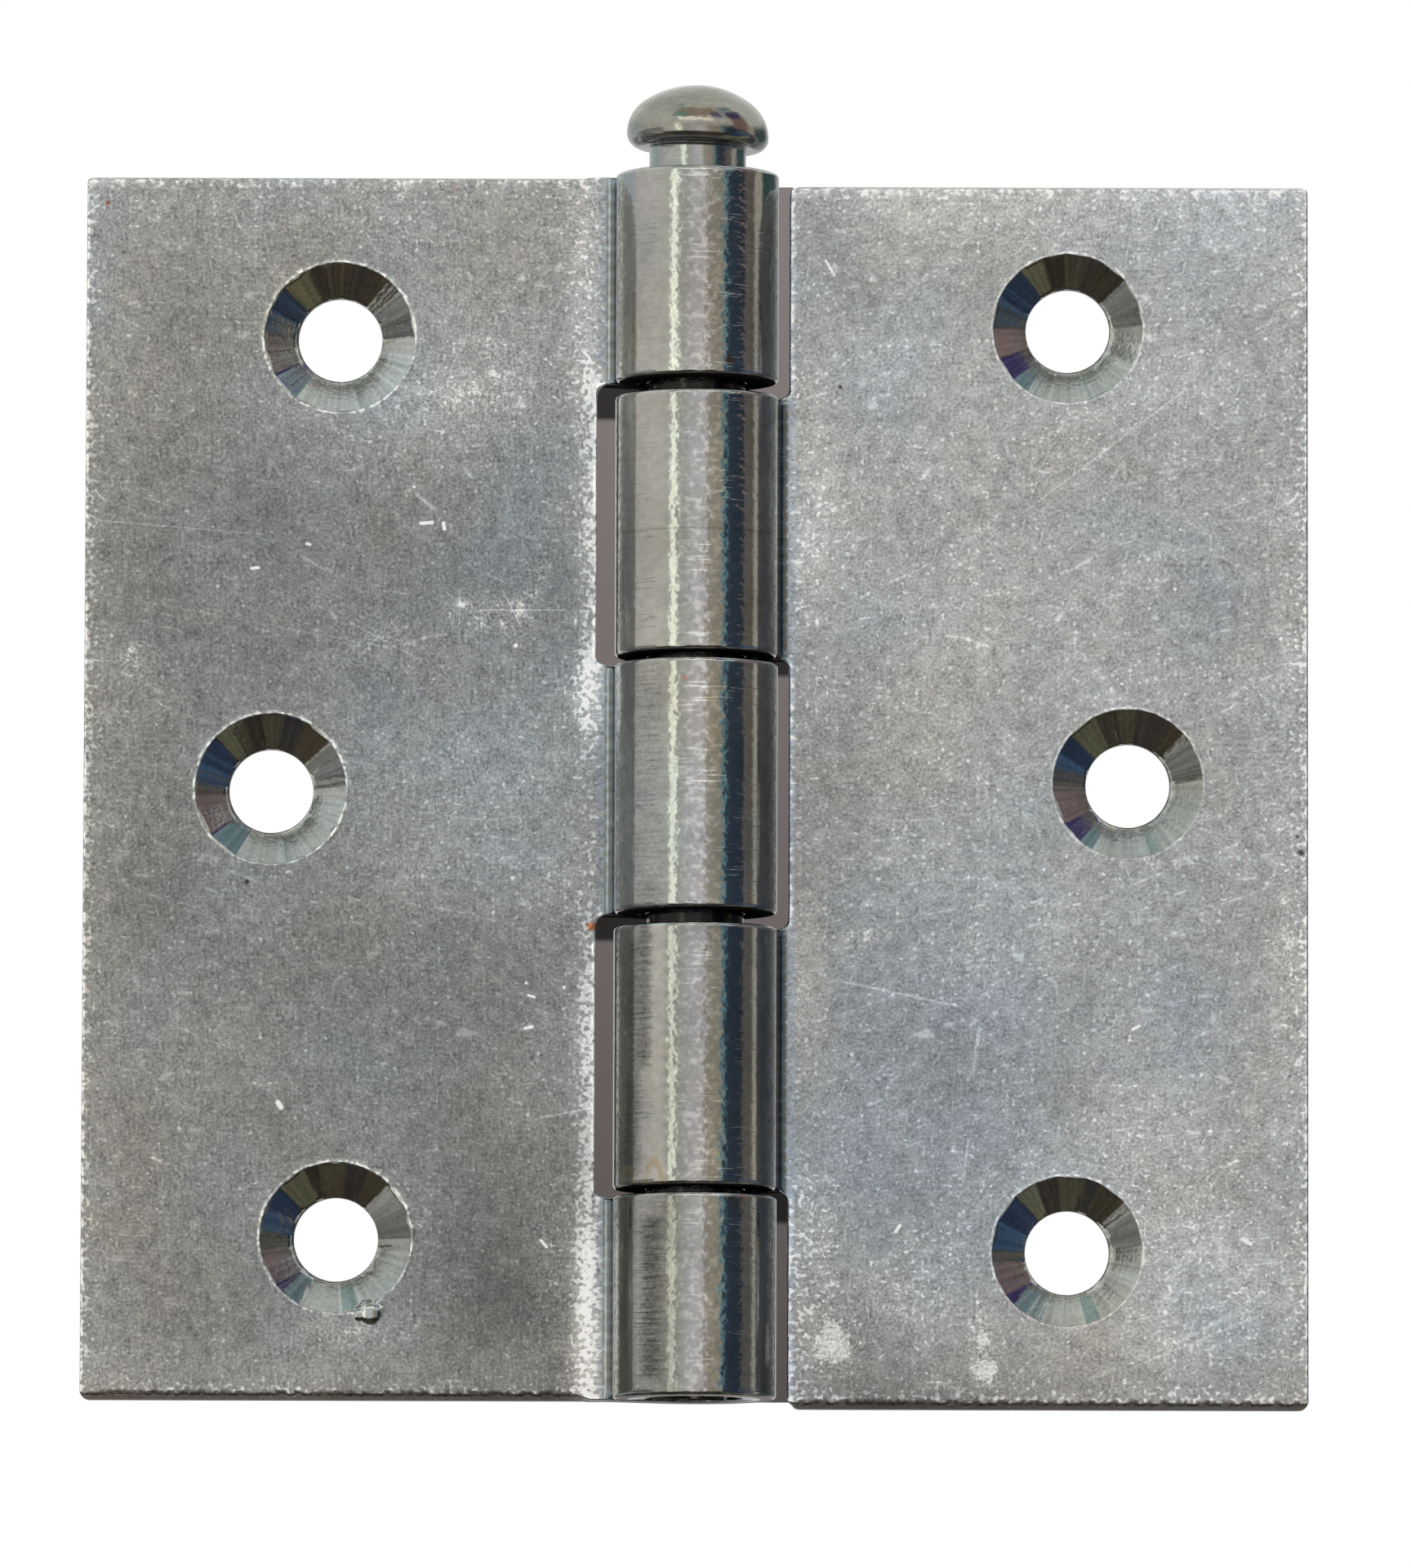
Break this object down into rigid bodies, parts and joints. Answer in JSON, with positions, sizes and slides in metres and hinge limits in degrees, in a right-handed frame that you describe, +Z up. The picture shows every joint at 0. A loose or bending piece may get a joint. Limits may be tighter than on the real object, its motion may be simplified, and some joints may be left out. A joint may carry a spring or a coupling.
{
  "type": "loose-pin butt hinge",
  "caption": "Square pressed-steel butt hinge with rolled knuckles, countersunk screw holes and a loose domed pin, opened out flat.",
  "frame": {"origin": "on the pin's axis, at the middle of the whole hinge's height", "axes": "+Z up along the pin towards its head, +X across the open leaves towards the leaf with two knuckles, +Y away from the countersunk faces, towards what the leaves are screwed to"},
  "size_m": [0.076, 0.0102, 0.0822],
  "materials": {
    "fixed_leaf": "bright zinc plate on pressed steel, matte from barrel plating, scratched",
    "swing_leaf": "bright zinc plate on pressed steel, matte from barrel plating, scratched",
    "hinge_pin": "bright zinc plate on a cold-headed steel pin"
  },
  "bodies": {
    "fixed_leaf": {"fixed_leaf": "fixed_leaf"},
    "swing_leaf": {"swing_leaf": "swing_leaf"},
    "hinge_pin": {"hinge_pin": "hinge_pin"}
  },
  "joints": [
    {"name": "leaf_swing", "type": "hinge", "parent": "fixed_leaf", "child": "swing_leaf", "pos_m": [0, 0, 0], "axis": [0, 0, 1], "range_deg": [-180, 125]},
    {"name": "pin_draw", "type": "slide", "parent": "fixed_leaf", "child": "hinge_pin", "axis": [0, 0, 1], "range_m": [-0.0015, 0.078]}
  ]
}
